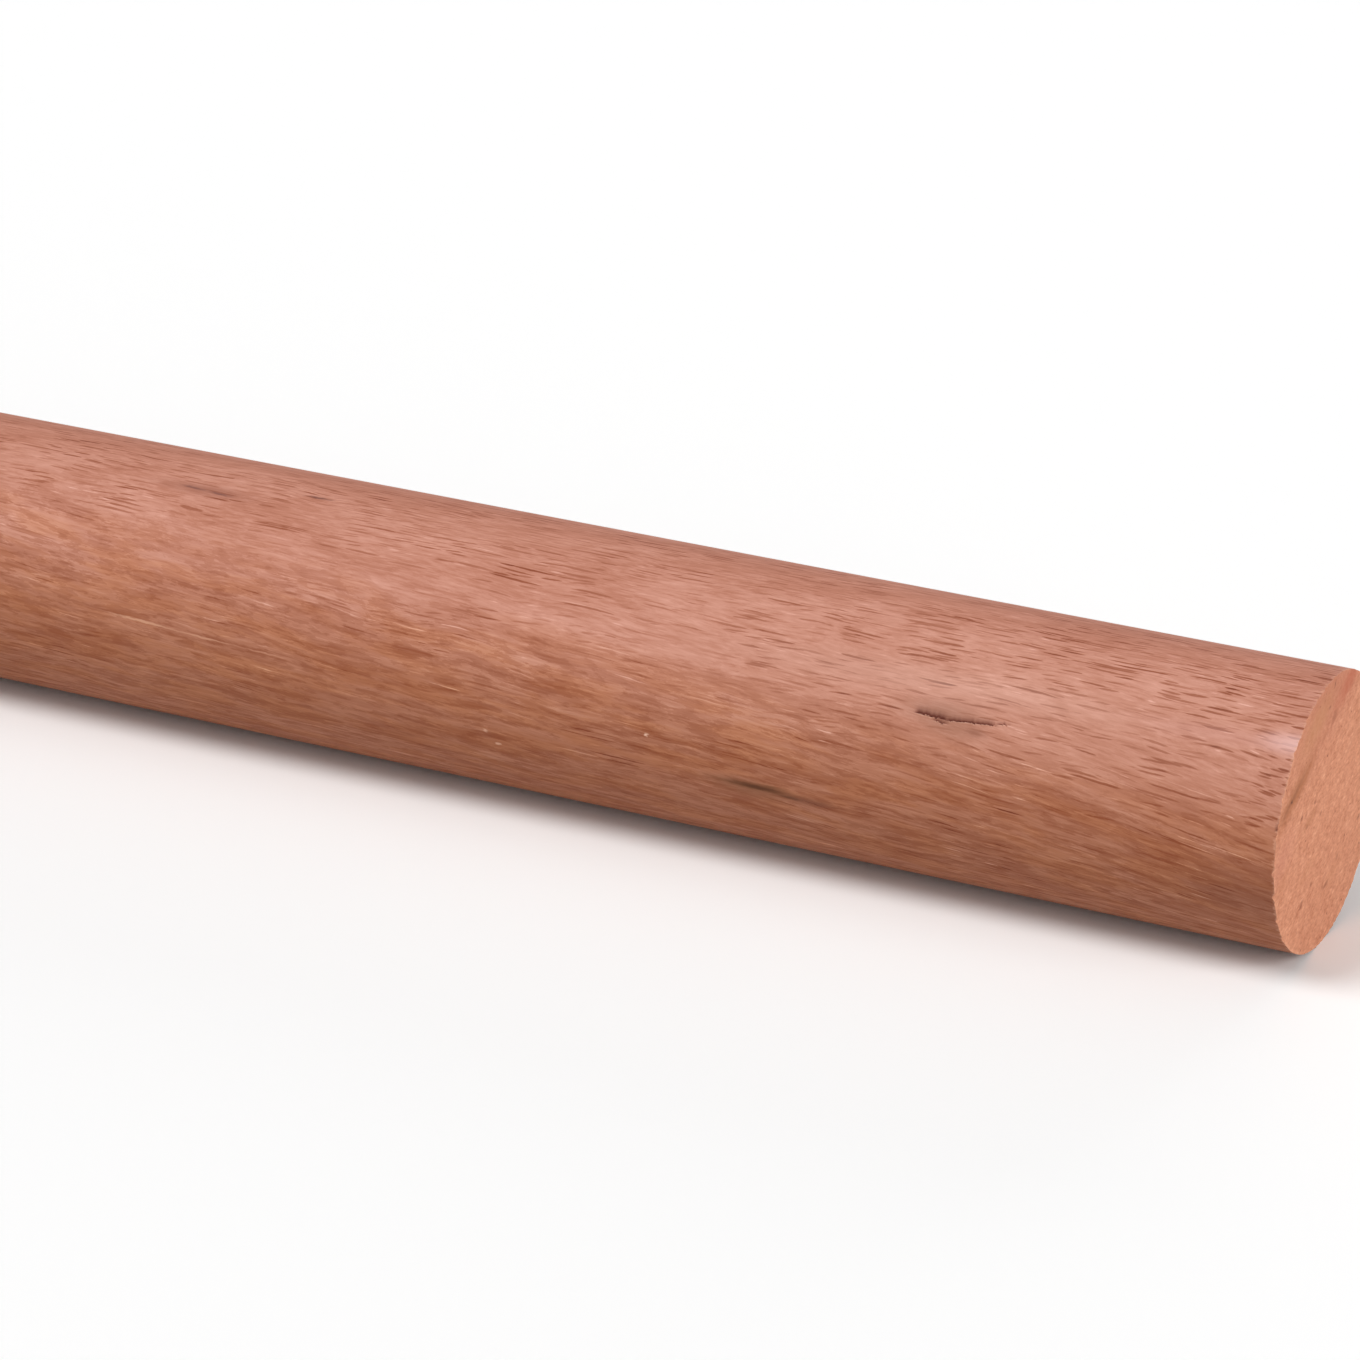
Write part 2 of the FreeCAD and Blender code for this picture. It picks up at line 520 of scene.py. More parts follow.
@dataclass(frozen=True)
class PlanedHardwood:
    """Red tropical hardwood, planed and sanded bare along the grain.

    The eye gets a soft sheen along the rail, with a painted highlight towards the right cut, pink on top
    and browner below and behind, partly as painted shade, fine streaks, and the dark dashes of open vessels.
    A torn place is dark inside with painted shade and has a pale lip, partly a painted highlight, and the
    wood is furred pale along a saw cut.

    Radius and length are the rail's. Lengths are in millimetres, and edges are places beside or above the
    rail's axis. Depths and shares are parts of the way from the palest tone to the darkest. Real fibres
    are about 0.02 mm wide, too fine to show, so they are drawn as streaks 0.3 to 0.4 mm wide.
    """

    figure: GrainFigure
    radius: float
    length: float
    tones: WoodTones = WoodTones(
        (
            (0.0, "#E0AA9A"),
            (0.14, "#CE9481"),
            (0.31, "#B87A64"),
            (0.48, "#A4654E"),
            (0.66, "#925037"),
            (0.83, "#834028"),
            (1.0, "#74321B"),
        )
    )
    depth: float = 0.235
    flank_from: float = 950.0
    flank_high: float = 18.0
    flank_low: float = 5.0
    flank_blur: float = 12.0
    # Deeper tone lower down and high on the far side: partly the wood's own colour, partly painted shade
    upper_edge: float = 16.0
    lower_edge: float = -2.0
    deeper_below: float = 0.125
    near_edge: float = -7.0
    far_edge: float = 8.0
    back_low: float = 4.0
    back_high: float = 19.0
    deeper_behind: float = 0.2
    fibre: Cloud = Cloud((4.2, 0.42, 0.42))
    fibre_share: Share = Share(0.36, 0.27)
    hair: Cloud = Cloud((7.0, 0.34, 0.34))
    hair_share: Share = Share(0.08, 0.24)
    layer_share: Share = Share(0.35, 0.4)
    band: Cloud = Cloud((14.0, 5.0, 1.8), 5.0, 0.65)
    band_share: Share = Share(0.02, 0.08)
    wedge: Cloud = Cloud((6.0, 2.0, 0.9), 5.0, 0.65)
    wedge_share: Share = Share(0.03, 0.11)
    dashes: Vessels = Vessels((15.0, 0.58, 0.58), 0.24, 0.38, math.radians(2.5), 0.0, Share(0.5, 0.19))
    short_dashes: Vessels = Vessels((9.0, 0.56, 0.56), 0.2, 0.34, math.radians(-3.0), 0.0, Share(0.38, 0.13))
    lines: Vessels = Vessels((34.0, 0.68, 0.68), 0.1, 0.22, math.radians(4.5), 0.1, Share(0.2, 0.55))
    pale_lines: Vessels = Vessels((34.0, 0.7, 0.7), 0.06, 0.2, math.radians(4.5), 0.0, Share(-0.2, -0.4))
    flecks: Vessels = Vessels((7.0, 0.7, 0.7), 0.06, 0.24, 0.0, 0.0, Share(-0.22, -0.16))
    lower_tint: str = "#FAFAEC"
    warm_tint: str = "#FFF8E6"
    mark_edges: Sway = Sway(Cloud((1.6, 0.5, 0.5), 2.0, 0.5), (2.0, 0.5, 0.5))
    fur_reach: float = 0.35
    fur_tone: str = "#DDA588"
    fur_strength: float = 0.4
    # Painted shade inside the torn places
    torn_shade_tone: str = "#662E22"
    torn_full: float = 0.7
    torn_shade_strength: float = 0.9
    # A paler lip: partly pale torn fibres, partly a painted highlight where it catches the light
    lip_tone: str = "#E2AE98"
    lip_strength: float = 0.6
    roughness: float = 0.8
    ior: float = 1.5
    gloss: float = 0.35
    dash_relief: float = 0.003
    fibre_relief: float = 0.005

    def material(self) -> bpy.types.Material:
        """Lay out the finish.

        Returns:
            The material of the rail's round side.
        """
        made = bpy.data.materials.new("red_hardwood_planed")
        made.use_nodes = True
        bench = Bench(made.node_tree)
        figure = self.figure
        place = figure.place(bench)
        grain = figure.grain(bench, place)
        height = bench.add("SeparateXYZ", {"Vector": place}, out="Z")
        # Deeper and yellower lower down, partly the wood's own colour and partly painted shade on the
        # underside
        sink = {"From Min": self.upper_edge, "From Max": self.lower_edge}
        lower = bench.add("MapRange", {"Value": height, **sink}, interpolation_type="SMOOTHSTEP")
        level = self._level(bench, place, height)
        depth = bench.add("Math", {0: lower, 1: self.deeper_below, 2: level}, operation="MULTIPLY_ADD")
        fibre = figure.fibres(bench, grain, self.fibre)
        dash = figure.vessels(bench, grain, self.dashes)
        parts = [
            (fibre, self.fibre_share),
            (figure.fibres(bench, grain, self.hair), self.hair_share),
            (figure.layers(bench, grain), self.layer_share),
            (figure.ribbons(bench, grain, self.band), self.band_share),
            (figure.ribbons(bench, grain, self.wedge), self.wedge_share),
            (dash, self.dashes.share),
        ]
        for sort in (self.short_dashes, self.lines, self.pale_lines, self.flecks):
            parts.append((figure.vessels(bench, grain, sort), sort.share))
        flank = self._flank(bench, place, height)
        for part, share in parts:
            much = bench.add("Mix", {"Factor": flank, "A": share.top, "B": share.flank}, data_type="FLOAT")
            depth = bench.add("Math", {0: part, 1: much, 2: depth}, operation="MULTIPLY_ADD")
        wood = self.tones.colour(bench, depth)
        warm = bench.add("Math", {0: figure.patches(bench, grain), 1: flank}, operation="MULTIPLY")
        for tinted, tint in ((lower, self.lower_tint), (warm, self.warm_tint)):
            over = {"Factor": tinted, "A": wood, "B": linear(tint)}
            wood = bench.add("Mix", over, data_type="RGBA", blend_type="MULTIPLY")
        ridge = bench.add("Math", {0: fibre, 1: -self.fibre_relief * MM}, operation="MULTIPLY")
        hollow = bench.add("Math", {0: dash, 1: -self.dash_relief * MM, 2: ridge}, operation="MULTIPLY_ADD")
        surface = bench.add(
            "BsdfPrincipled",
            {
                "Base Color": self._marked(bench, wood, place),
                "Roughness": self.roughness,
                "IOR": self.ior,
                "Specular IOR Level": self.gloss,
                "Normal": bench.add("Bump", {"Strength": 1.0, "Distance": 1.0, "Height": hollow}),
            },
        )
        bench.add("OutputMaterial", {"Surface": surface})
        return made

    def _level(self, bench: Bench, place: Socket, height: Socket) -> Socket:
        """Work out how deep the tone of the plain wood is, deeper high on the far side, partly as painted
        shade.

        Args:
            bench: The material's node tree.
            place: The place in millimetres from the middle of the rail's axis.
            height: The height in it.

        Returns:
            The depth of tone.
        """
        aside = bench.add("SeparateXYZ", {"Vector": place}, out="Y")
        across = {"From Min": self.near_edge, "From Max": self.far_edge, "To Max": self.deeper_behind}
        behind = bench.add("MapRange", {"Value": aside, **across}, interpolation_type="SMOOTHSTEP")
        rise = {"From Min": self.back_low, "From Max": self.back_high}
        upper = bench.add("MapRange", {"Value": height, **rise}, interpolation_type="SMOOTHSTEP")
        return bench.add("Math", {0: behind, 1: upper, 2: self.depth}, operation="MULTIPLY_ADD")

    def _flank(self, bench: Bench, place: Socket, height: Socket) -> Socket:
        """Tell the flank, where the cut runs with the grain, from the top, where it runs across it.

        Args:
            bench: The material's node tree.
            place: The place in millimetres from the middle of the rail's axis.
            height: The height in it.

        Returns:
            From 0 on the top to 1 on the flank, whose edge sinks towards the right cut, as the grain does.
        """
        along = bench.add("SeparateXYZ", {"Vector": place}, out="X")
        stretch = {"From Min": self.flank_from, "From Max": self.length / 2}
        sink = {"To Min": self.flank_high, "To Max": self.flank_low}
        edge = bench.add("MapRange", {"Value": along, **stretch, **sink})
        under = bench.add("Math", {0: edge, 1: height}, operation="SUBTRACT")
        blur = {"From Min": -self.flank_blur / 2, "From Max": self.flank_blur / 2}
        return bench.add("MapRange", {"Value": under, **blur}, interpolation_type="SMOOTHSTEP")

    def _marked(self, bench: Bench, wood: Socket, place: Socket) -> Socket:
        """Lay the marks, some of them a painted highlight, the fur along the cuts and the torn places, with
        painted shade inside and a partly painted highlight on their lips, over the clean wood.

        Args:
            bench: The material's node tree.
            wood: Colour of the clean wood.
            place: The place in millimetres from the middle of the rail's axis.

        Returns:
            The colour with all of them.
        """
        ragged = self.mark_edges.move(bench, place, place)
        colour = wood
        for mark in SIDE_MARKS:
            colour = mark.lay(bench, colour, ragged, self.radius, self.length)
        along = bench.add("SeparateXYZ", {"Vector": ragged}, out="X")
        out = bench.add("Math", {0: along}, operation="ABSOLUTE")
        edge = {"From Min": self.length / 2 - self.fur_reach, "From Max": self.length / 2}
        fur = bench.add("MapRange", {"Value": out, **edge, "To Max": self.fur_strength})
        # The torn places are painted darker inside, as painted shade in the tear
        torn = bench.add("Attribute", out="Fac", attribute_name=TORN)
        depths = {"From Max": self.torn_full, "To Max": self.torn_shade_strength}
        dark = bench.add("MapRange", {"Value": torn, **depths})
        # Paler lip, partly pale torn fibres and partly a painted highlight
        lip = bench.add("MapRange", {"Value": torn, "From Max": -1.0, "To Max": self.lip_strength})
        for mask, over in ((fur, self.fur_tone), (dark, self.torn_shade_tone), (lip, self.lip_tone)):
            colour = bench.add("Mix", {"Factor": mask, "A": colour, "B": linear(over)}, data_type="RGBA")
        return colour


@dataclass(frozen=True)
class Spots:
    """Small spots in the wood: the room in millimetres that each has, and its core and rim as parts of it."""

    room: Triple
    core: float
    rim: float

    def draw(self, bench: Bench, place: Socket) -> Socket:
        """Draw the spots.

        Args:
            bench: The material's node tree.
            place: The place in millimetres.

        Returns:
            How much of a spot is here, from 0 to 1.
        """
        at = bench.add("Mapping", {"Vector": place, "Scale": self.room}, vector_type="TEXTURE")
        away = bench.add("TexVoronoi", {"Vector": at, "Scale": 1.0}, out="Distance")
        return bench.add("MapRange", {"Value": away, "From Min": self.rim, "From Max": self.core})


@dataclass(frozen=True)
class SawnEndGrain:
    """The same hardwood, cross-cut by a saw.

    The eye gets a matt tan face, mottled along the growth layers and gritty, with a few pores seen end on,
    pale tufts of fibre, a brown groove where a layer tore, deepened with painted shade inside, and a pale
    furred edge.

    Radius and length are the rail's. Lengths are in millimetres. Depths and shares are parts of the way
    from the palest tone to the darkest. The fur of cut fibres is finer than 0.1 mm, too fine to show, so
    its grit is drawn 0.4 to 1 mm wide.
    """

    figure: GrainFigure
    radius: float
    length: float
    tones: WoodTones = WoodTones(((0.0, "#E4A686"), (0.3, "#D18D6C"), (0.6, "#B57151"), (1.0, "#713B29")))
    depth: float = 0.41
    mottle: Cloud = Cloud((1.0, 2.4, 1.4))
    mottle_share: float = 0.6
    grit: Cloud = Cloud((0.4, 1.0, 0.45))
    grit_share: float = 0.75
    layer_share: float = 0.3
    pores: Spots = Spots((2.6, 2.6, 2.6), 0.04, 0.1)
    pore_share: float = 0.45
    tufts: Spots = Spots((1.4, 2.6, 1.2), 0.1, 0.3)
    tuft_share: float = -0.16
    # Painted shade in the torn groove
    torn_share: float = 0.25
    edge_reach: float = 0.7
    edge_share: float = -0.12
    roughness: float = 0.85
    ior: float = 1.5
    mottle_relief: float = 0.05
    mark_stray: float = 1.6

    def material(self) -> bpy.types.Material:
        """Lay out the finish.

        Returns:
            The material of the rail's two sawn ends.
        """
        made = bpy.data.materials.new("red_hardwood_sawn_end")
        made.use_nodes = True
        bench = Bench(made.node_tree)
        figure = self.figure
        place = figure.place(bench)
        mottle = self.mottle.level(bench, place, (figure.layer_turn, 0, 0))
        across = bench.add("VectorMath", {0: place, 1: (0, 1, 1)}, operation="MULTIPLY")
        out = bench.add("VectorMath", {0: across}, out="Value", operation="LENGTH")
        reach = {"From Min": self.radius - self.edge_reach, "From Max": self.radius}
        edge = bench.add("MapRange", {"Value": out, **reach})
        parts = (
            (mottle, self.mottle_share),
            (self.grit.level(bench, place, (0, 0, 0)), self.grit_share),
            (figure.layers(bench, figure.grain(bench, place)), self.layer_share),
            (self.pores.draw(bench, place), self.pore_share),
            (self.tufts.draw(bench, place), self.tuft_share),
            # Deeper tone where the groove tore, as painted shade in it
            (bench.add("Attribute", out="Fac", attribute_name=TORN), self.torn_share),
            (edge, self.edge_share),
        )
        depth = self.depth
        for part, share in parts:
            depth = bench.add("Math", {0: part, 1: share, 2: depth}, operation="MULTIPLY_ADD")
        colour = self.tones.colour(bench, depth)
        shift = bench.add("VectorMath", {0: mottle, "Scale": self.mark_stray}, operation="SCALE")
        ragged = bench.add("VectorMath", {0: place, 1: shift}, operation="ADD")
        for mark in END_MARKS:
            colour = mark.lay(bench, colour, ragged, self.radius, self.length)
        height = bench.add("Math", {0: mottle, 1: -self.mottle_relief * MM}, operation="MULTIPLY")
        relief = bench.add("Bump", {"Strength": 1.0, "Distance": 1.0, "Height": height})
        surface = bench.add(
            "BsdfPrincipled",
            {"Base Color": colour, "Roughness": self.roughness, "IOR": self.ior, "Normal": relief},
        )
        bench.add("OutputMaterial", {"Surface": surface})
        return made


@dataclass(frozen=True)
class Tear:
    """One tear of the cleft, between two places. Lengths are in millimetres.

    The wood slopes down into the tear from above, over its reach, and stands up sharp below it in a lip.
    """

    start: OnSide
    end: OnSide
    reach: float
    depth: float


@dataclass(frozen=True)
class Chip:
    """A chip out of the right cut's edge: where and how far round in degrees, how deep in millimetres."""

    turn: float
    span: float
    depth: float


@dataclass(frozen=True)
class BakeLayout:
    """The map that the finish is baked on.

    The stretch by the right cut, which the photo shows, takes one wide strip and the long rest takes
    another, both slit along the bottom of the rail. The two cuts lie beside each other below them. The
    stretch is in millimetres, and the other sizes are parts of the map.
    """

    shown: float = 300.0
    shown_rows: Pair = (0.56, 0.995)
    rest_rows: Pair = (0.2, 0.55)
    margin: float = 0.005
    disc: float = 0.093
    right_disc: Pair = (0.1, 0.1)
    left_disc: Pair = (0.3, 0.1)

    def lay(self, rail: bpy.types.Object, radius: float, length: float, axis_height: float) -> None:
        """Lay the map on the closed bar, whose sawn faces have the second material.

        Args:
            rail: The bar.
            radius: Its radius in metres.
            length: Its length in metres.
            axis_height: Height of its axis in metres.
        """
        half = length / 2
        split = half - self.shown * MM
        layer = rail.data.uv_layers.new(name=BAKE_MAP)
        for face in rail.data.polygons:
            left, right, (low, high) = -half, split, self.rest_rows
            if face.center.x > split:
                left, right, (low, high) = split, half, self.shown_rows
            column, row = self.right_disc if face.center.x > 0 else self.left_disc
            facing = math.atan2(face.center.y, axis_height - face.center.z)
            for loop in face.loop_indices:
                co = rail.data.vertices[rail.data.loops[loop].vertex_index].co
                if face.material_index:
                    u = column + self.disc * co.y / radius
                    v = row + self.disc * (co.z - axis_height) / radius
                else:
                    turn = math.atan2(co.y, axis_height - co.z) - facing
                    around = facing + (turn + math.pi) % math.tau
                    u = self.margin + (1 - 2 * self.margin) * (co.x - left) / (right - left)
                    v = low + (high - low) * around / math.tau
                layer.data[loop].uv = (u, v)


@dataclass
class HandrailTimber:
    """The rail itself: one round length of timber with a saw cut across each end.

    Radius, length and axis height are in metres. Other lengths are in millimetres, and waves are counted
    to the millimetre.
    """

    radius: float
    length: float
    axis_height: float
    sides: int = 400
    near_cut: tuple[float, ...] = (0.6, 1.4, 3.0, 6.0, 12.0, 25.0)
    ring_gap: float = 100.0
    cut_zone: float = 0.35
    smooth_under: float = math.radians(35)
    bake: BakeLayout = BakeLayout()
    cleft_right: OnSide = OnSide(44.0, 38.0)
    cleft_left: OnSide = OnSide(64.0, 27.0)
    cleft_cuts: int = 3
    cleft_steps: int = 8
    lip_reach: float = 0.22
    lip_height: float = 0.06
    tears: tuple[Tear, ...] = (
        Tear(OnSide(61.9, 32.3), OnSide(55.6, 31.8), 1.5, 0.46),
        Tear(OnSide(58.6, 30.7), OnSide(55.5, 30.0), 0.9, 0.32),
        Tear(OnSide(56.6, 31.6), OnSide(47.6, 33.4), 1.2, 0.38),
        Tear(OnSide(48.2, 33.8), OnSide(45.4, 34.5), 0.7, 0.3),
    )
    tear_waves: Pair = (1.1, 2.3)
    tear_strays: Pair = (0.16, 0.26)
    tear_left_taper: float = 0.8
    tear_right_taper: float = 1.2
    tear_hollow: float = 1.8
    chips: tuple[Chip, ...] = (
        Chip(62.0, 5.0, 0.2),
        Chip(46.0, 3.0, 0.25),
        Chip(27.0, 3.5, 0.3),
        Chip(12.0, 2.5, 0.25),
        Chip(-3.0, 3.0, 0.35),
        Chip(-14.0, 4.0, 0.3),
        Chip(-27.0, 3.0, 0.3),
        Chip(-41.0, 5.0, 0.25),
        Chip(118.0, 5.0, 0.3),
        Chip(163.0, 4.0, 0.25),
        Chip(215.0, 6.0, 0.3),
    )
    saw_grain: float = 0.9
    saw_relief: float = 0.2
    saw_detail: int = 2
    edge_grain: float = 0.7
    edge_relief: float = 0.24
    groove_start: Pair = (-6.0, 12.6)
    groove_end: Pair = (-20.8, 5.9)
    groove_run: float = 1.05
    groove_width: float = 1.8
    groove_depth: float = 0.1
    groove_shallow: float = 0.25
    groove_core: float = 0.4
    groove_waves: float = 0.5
    groove_stray: float = 0.5
    groove_noise_row: float = 5.0

    def build(self, side: bpy.types.Material, sawn: bpy.types.Material) -> bpy.types.Object:
        """Model the rail.

        Args:
            side: Material of the round side.
            sawn: Material of the two cut ends.

        Returns:
            The finished piece.
        """
        rail = self._turn_bar()
        for end in RailEnd:
            self._close_end(rail, end)
        rail.data.materials.append(side)
        rail.data.materials.append(sawn)
        for face in rail.data.polygons:
            face.material_index = int(abs(face.normal.x) > math.hypot(face.normal.y, face.normal.z))
        self.bake.lay(rail, self.radius, self.length, self.axis_height)
        torn = self._open_cleft(rail)
        torn.update(self._score_end(rail))
        for end in RailEnd:
            self._roughen_end(rail, end)
        self._break_edge(rail)
        marks = rail.data.attributes.new(TORN, "FLOAT", "POINT")
        for index, amount in torn.items():
            marks.data[index].value = amount
        bpy.ops.object.shade_smooth_by_angle(angle=self.smooth_under)
        return rail

    def _stations(self) -> list[float]:
        """Work out where the rings stand along the rail.

        Returns:
            Places along X in metres between the two ends, from left to right.
        """
        half = self.length / 2
        count = round(self.length / (self.ring_gap * MM))
        between = [-half + self.ring_gap * MM * i for i in range(1, count)]
        cuts = [half - back * MM for back in self.near_cut]
        first, last = round(self.cleft_right.back), round(self.cleft_left.back)
        cleft = [half - back * MM for back in range(first, last + 1)]
        return sorted([-x for x in cuts] + between + cleft + cuts)

    def _turn_bar(self) -> bpy.types.Object:
        """Add the round bar with open ends and cut it into rings.

        Returns:
            The bar's object, left in object mode.
        """
        bpy.ops.object.select_all(action="DESELECT")
        bpy.ops.mesh.primitive_cylinder_add(
            vertices=self.sides,
            radius=self.radius,
            depth=self.length,
            end_fill_type="NOTHING",
            location=(0, 0, self.axis_height),
            rotation=(0, math.pi / 2, 0),
        )
        rail = bpy.context.object
        rail.name = "handrail_timber"
        rail.data.name = "handrail_timber"
        bpy.ops.object.transform_apply(location=True, rotation=True, scale=True)
        bpy.ops.object.mode_set(mode="EDIT")
        for x in self._stations():
            bpy.ops.mesh.select_all(action="SELECT")
            bpy.ops.mesh.bisect(plane_co=(x, 0, self.axis_height), plane_no=(1, 0, 0))
        bpy.ops.object.mode_set(mode="OBJECT")
        return rail

    def _close_end(self, rail: bpy.types.Object, end: RailEnd) -> None:
        """Close one end with a grid of small faces.

        Args:
            rail: The bar.
            end: Which end.
        """
        x = end.value * self.length / 2
        select_vertices(rail, lambda vertex: abs(vertex.co.x - x) < TOUCH * MM)
        bpy.ops.object.mode_set(mode="EDIT")
        bpy.ops.mesh.fill_grid(span=self.sides // 4)
        bpy.ops.mesh.select_all(action="SELECT")
        bpy.ops.mesh.normals_make_consistent(inside=False)
        bpy.ops.object.mode_set(mode="OBJECT")

    def _side_place(self, co: Vector) -> OnSide:
        """Read where on the side a point lies."""
        turn = math.degrees(math.atan2(co.z - self.axis_height, -co.y))
        return OnSide((self.length / 2 - co.x) / MM, turn)

    def _in_cleft(self, vertex: bpy.types.MeshVertex) -> bool:
        """Tell whether a vertex is in the stretch of the side that the cleft takes.

        Args:
            vertex: A vertex of the bar.

        Returns:
            Whether it is.
        """
        here = self._side_place(vertex.co)
        along = self.cleft_right.back - TOUCH < here.back < self.cleft_left.back + TOUCH
        return along and self.cleft_left.turn < here.turn < self.cleft_right.turn

    def _torn(self, co: Vector) -> float:
        """Work out how the cleft moves a point of the side.

        Args:
            co: The point, in metres.

        Returns:
            Millimetres inwards, or a negative amount where a lip stands out.
        """
        here = self._side_place(co)
        arc = math.radians(self.radius / MM)
        moved = 0.0
        for number, tear in enumerate(self.tears):
            span = tear.start.back - tear.end.back
            share = (tear.start.back - here.back) / span
            if not 0 < share < 1:
                continue
            line = tear.start.turn + share * (tear.end.turn - tear.start.turn)
            above = (here.turn - line) * arc
            for row, (waves, stray) in enumerate(zip(self.tear_waves, self.tear_strays)):
                above += stray * noise.noise(Vector((here.back * waves, number, row)))
            taper = min(1.0, share * span / self.tear_left_taper, (1 - share) * span / self.tear_right_taper)
            if 0 <= above < tear.reach:
                moved = max(moved, tear.depth * taper * (1 - above / tear.reach) ** self.tear_hollow)
            elif -self.lip_reach < above < 0 and moved == 0:
                moved = -self.lip_height * taper * (1 + above / self.lip_reach)
        return moved

    def _open_cleft(self, rail: bpy.types.Object) -> dict[int, float]:
        """Tear the cleft open in the near side.

        Args:
            rail: The bar.

        Returns:
            How torn each touched vertex is: 1 at the deepest, and -1 at the top of a lip.
        """
        select_vertices(rail, self._in_cleft)
        bpy.ops.object.mode_set(mode="EDIT")
        bpy.ops.mesh.subdivide(number_cuts=self.cleft_cuts)
        bpy.ops.object.mode_set(mode="OBJECT")
        moves = {v.index: self._torn(v.co) for v in rail.data.vertices if self._in_cleft(v)}
        deepest = max(moves.values())
        right, left = self.cleft_right, self.cleft_left
        middle = OnSide((left.back + right.back) / 2, (left.turn + right.turn) / 2)
        inwards = -middle.outwards()
        for step in range(self.cleft_steps):
            level = deepest * (2 * step + 1) / (2 * self.cleft_steps)
            wanted = {i for i, by in moves.items() if by > level}
            self._push(rail, wanted, inwards * deepest / self.cleft_steps)
        raised = {i for i, by in moves.items() if by < -self.lip_height / 2}
        self._push(rail, raised, inwards * -self.lip_height)
        return {i: by / (deepest if by > 0 else self.lip_height) for i, by in moves.items() if by}

    def _push(self, rail: bpy.types.Object, wanted: set[int], by: Vector) -> None:
        """Move some vertices.

        Args:
            rail: The bar.
            wanted: Numbers of the vertices.
            by: The way and how far, in millimetres.
        """
        select_vertices(rail, lambda vertex: vertex.index in wanted)
        bpy.ops.object.mode_set(mode="EDIT")
        bpy.ops.transform.translate(value=by * MM)
        bpy.ops.object.mode_set(mode="OBJECT")

    def _score_end(self, rail: bpy.types.Object) -> dict[int, float]:
        """Tear the groove along a growth layer of the right cut.

        Args:
            rail: The bar.

        Returns:
            How torn each touched vertex is, from 0 to 1.
        """
        start, end = Vector(self.groove_start), Vector(self.groove_end)
        along = (end - start).normalized()
        torn = {}
        for vertex in rail.data.vertices:
            if vertex.co.x < self.length / 2 - TOUCH * MM:
                continue
            at = Vector((vertex.co.y / MM, (vertex.co.z - self.axis_height) / MM)) - start
            run = at.dot(along)
            share = run / (end - start).length
            swing = noise.noise(Vector((run * self.groove_waves, self.groove_noise_row, 0)))
            aside = abs(at.cross(along) + self.groove_stray * swing)
            if 0 < share < self.groove_run and aside < self.groove_width:
                fade = min(1.0, self.groove_shallow + share)
                torn[vertex.index] = (1 - aside / self.groove_width) * fade
        deep = {i for i, by in torn.items() if by > self.groove_core}
        self._push(rail, deep, Vector((-self.groove_depth, 0, 0)))
        return torn

    def _roughen_end(self, rail: bpy.types.Object, end: RailEnd) -> None:
        """Give one cut the furry relief that the saw left, and its edge a rougher one.

        Args:
            rail: The bar.
            end: Which end.
        """
        face = self._cut_face(rail, end)
        for name, members, grain, relief in (
            ("saw", face, self.saw_grain, self.saw_relief),
            ("edge", self._rim(rail, face), self.edge_grain, self.edge_relief),
        ):
            rail.vertex_groups.new(name=name).add(members, 1.0, "REPLACE")
            texture = bpy.data.textures.new(name, "CLOUDS")
            texture.noise_scale = grain * MM
            texture.noise_depth = self.saw_detail
            rough = rail.modifiers.new(name, "DISPLACE")
            rough.texture = texture
            rough.texture_coords = "LOCAL"
            rough.vertex_group = name
            rough.direction = "X"
            rough.mid_level = NOISE_MIDDLE
            rough.strength = relief * MM
            bpy.ops.object.modifier_apply(modifier=name)
            rail.vertex_groups.clear()

    def _cut_face(self, rail: bpy.types.Object, end: RailEnd) -> list[int]:
        """List the vertices of one cut, rim and all."""
        x = end.value * self.length / 2
        return [v.index for v in rail.data.vertices if abs(v.co.x - x) < self.cut_zone * MM]

    def _rim(self, rail: bpy.types.Object, face: list[int]) -> list[int]:
        """List the vertices of a cut that are on its rim.

        Args:
            rail: The bar.
            face: Numbers of the cut's vertices.

        Returns:
            Numbers of those on the rim.
        """
        places = [(index, rail.data.vertices[index].co) for index in face]
        inner = self.radius - TOUCH * MM
        return [index for index, co in places if math.hypot(co.y, co.z - self.axis_height) > inner]

    def _break_edge(self, rail: bpy.types.Object) -> None:
        """Break the chips out of the right cut's edge, each in two steps, the second half as wide.

        Args:
            rail: The bar.
        """
        rim = self._rim(rail, self._cut_face(rail, RailEnd.RIGHT))
        turns = {index: self._side_place(rail.data.vertices[index].co).turn for index in rim}
        for chip in self.chips:
            away = {i: abs(math.remainder(turn - chip.turn, FULL_TURN)) for i, turn in turns.items()}
            for span in (chip.span, chip.span / 2):
                wanted = {i for i, by in away.items() if by < span / 2}
                self._push(rail, wanted, Vector((-chip.depth / 2, 0, 0)))


def select_vertices(piece: bpy.types.Object, wanted: Callable[[bpy.types.MeshVertex], bool]) -> None:
    """Select some of a piece's vertices, with all else deselected.

    Args:
        piece: A mesh object in object mode.
        wanted: Says of a vertex whether it is selected.
    """
    bpy.ops.object.select_all(action="DESELECT")
    piece.select_set(True)
    bpy.context.view_layer.objects.active = piece
    bpy.ops.object.mode_set(mode="EDIT")
    bpy.ops.mesh.select_mode(type="VERT")
    bpy.ops.mesh.select_all(action="DESELECT")
    bpy.ops.object.mode_set(mode="OBJECT")
    for vertex in piece.data.vertices:
        vertex.select = wanted(vertex)


